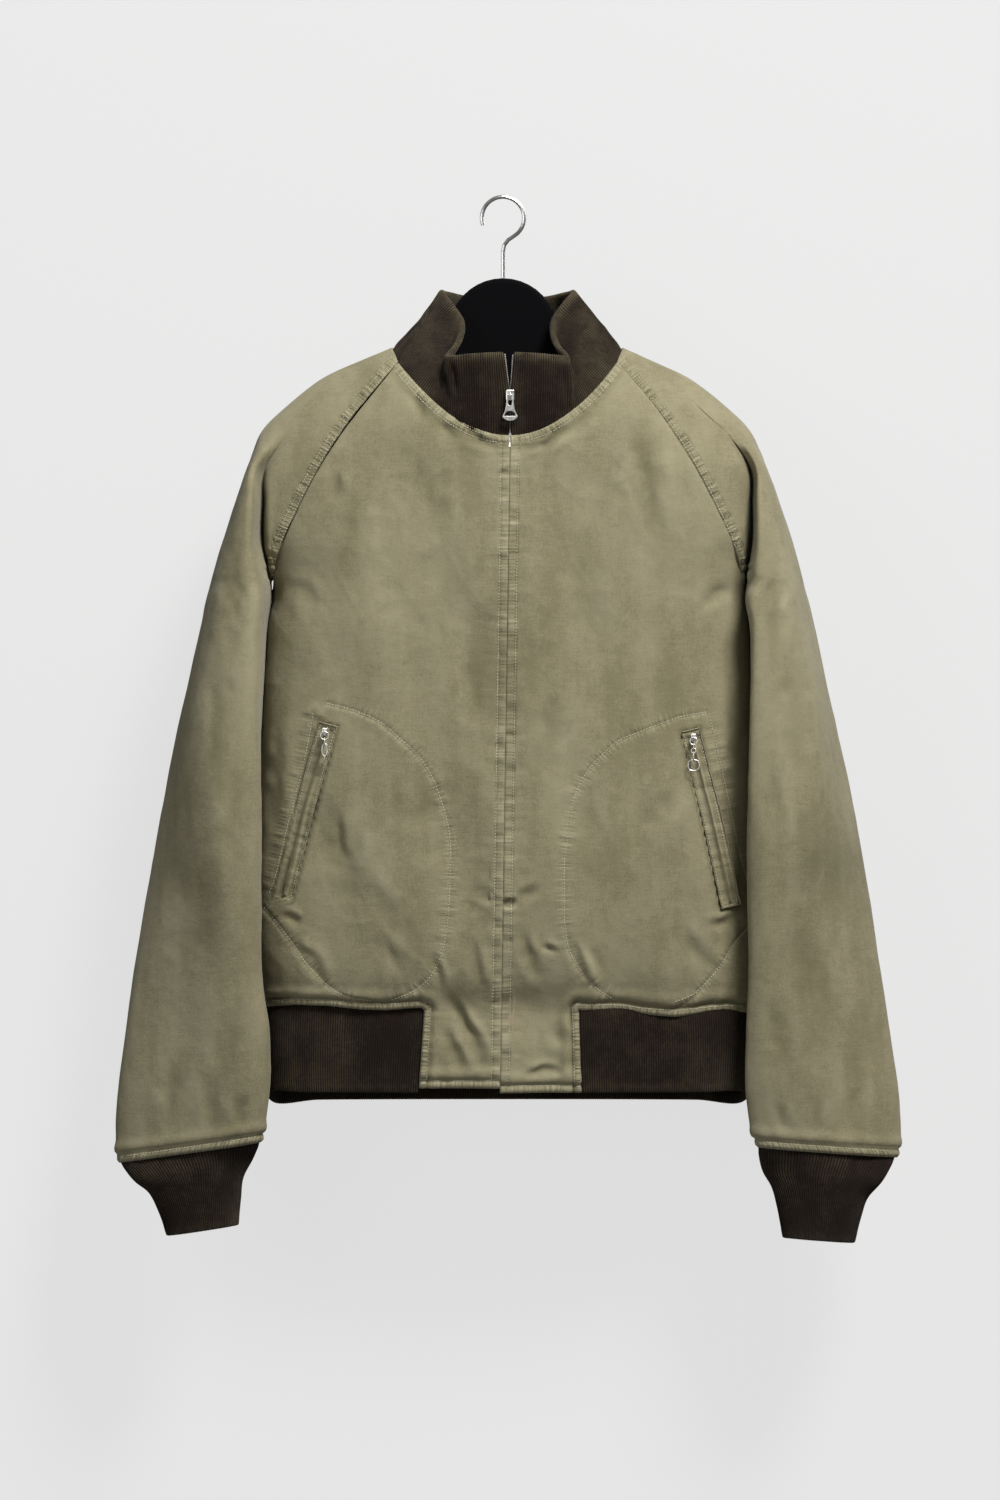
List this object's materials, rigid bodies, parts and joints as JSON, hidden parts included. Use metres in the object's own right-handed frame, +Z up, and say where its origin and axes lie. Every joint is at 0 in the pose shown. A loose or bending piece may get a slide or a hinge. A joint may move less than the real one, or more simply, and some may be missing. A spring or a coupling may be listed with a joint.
{
  "type": "tanker jacket on a hanger",
  "caption": "Zip-front blouson in garment-dyed cotton with raglan sleeves, slanted zip pockets and knit collar, cuffs and hem, hanging closed on a flat hanger with a steel hook.",
  "frame": {"origin": "inside top of the hanger hook's bend, where it rests on a rail", "axes": "+Z up along the hook's shank, -Y out of the jacket's zip side, +X to the viewer's right"},
  "size_m": [0.6914, 0.152, 0.926],
  "materials": {
    "olive_cotton": "garment-dyed cotton twill, matt, faded along its seams",
    "brown_knit": "dark brown rib knit, matt, with paler worn edges",
    "beige_tape": "woven zip tape with metal teeth",
    "nickel": "polished nickel zip hardware",
    "black_hanger": "matt black, soft touch",
    "steel_wire": "bright steel wire"
  },
  "bodies": {
    "jacket": {"back": "olive_cotton", "collar": "brown_knit", "cuff_left": "brown_knit", "cuff_right": "brown_knit", "front_left": "olive_cotton", "front_right": "olive_cotton", "hanger_body": "black_hanger", "hanger_hook": "steel_wire", "hem_rib": "brown_knit", "pocket_slider_left": "nickel", "pocket_slider_right": "nickel", "pocket_welt_left": "olive_cotton", "pocket_welt_right": "olive_cotton", "pocket_zip_left": "beige_tape", "pocket_zip_right": "beige_tape", "sleeve_left": "olive_cotton", "sleeve_right": "olive_cotton", "zip_slider": "nickel", "zip_tape_left": "beige_tape", "zip_tape_right": "beige_tape"},
    "zip_pull": {"zip_pull": "nickel"},
    "pocket_chain_left": {"pocket_link_left_1": "nickel", "pocket_link_left_2": "nickel", "pocket_link_left_3": "nickel"},
    "pocket_ring_left": {"pocket_ring_left": "nickel"},
    "pocket_chain_right": {"pocket_link_right_1": "nickel", "pocket_link_right_2": "nickel", "pocket_link_right_3": "nickel", "pocket_link_right_4": "nickel"},
    "pocket_ring_right": {"pocket_ring_right": "nickel"}
  },
  "joints": [
    {"name": "zip_pull_swing", "type": "hinge", "parent": "jacket", "child": "zip_pull", "pos_m": [0.0062, -0.06659, -0.1768], "axis": [-1, 0, 0], "range_deg": [0, 170]},
    {"name": "pocket_chain_left_swing", "type": "hinge", "parent": "jacket", "child": "pocket_chain_left", "pos_m": [-0.15653, -0.06496, -0.47235], "axis": [-1, 0, 0], "range_deg": [0, 150]},
    {"name": "pocket_ring_left_swing", "type": "hinge", "parent": "pocket_chain_left", "child": "pocket_ring_left", "pos_m": [-0.15653, -0.06496, -0.49355], "axis": [-1, 0, 0], "range_deg": [0, 85]},
    {"name": "pocket_chain_right_swing", "type": "hinge", "parent": "jacket", "child": "pocket_chain_right", "pos_m": [0.16742, -0.0643, -0.47741], "axis": [-1, 0, 0], "range_deg": [0, 150]},
    {"name": "pocket_ring_right_swing", "type": "hinge", "parent": "pocket_chain_right", "child": "pocket_ring_right", "pos_m": [0.16742, -0.0643, -0.49821], "axis": [0, 1, 0], "range_deg": [-70, 70]}
  ]
}
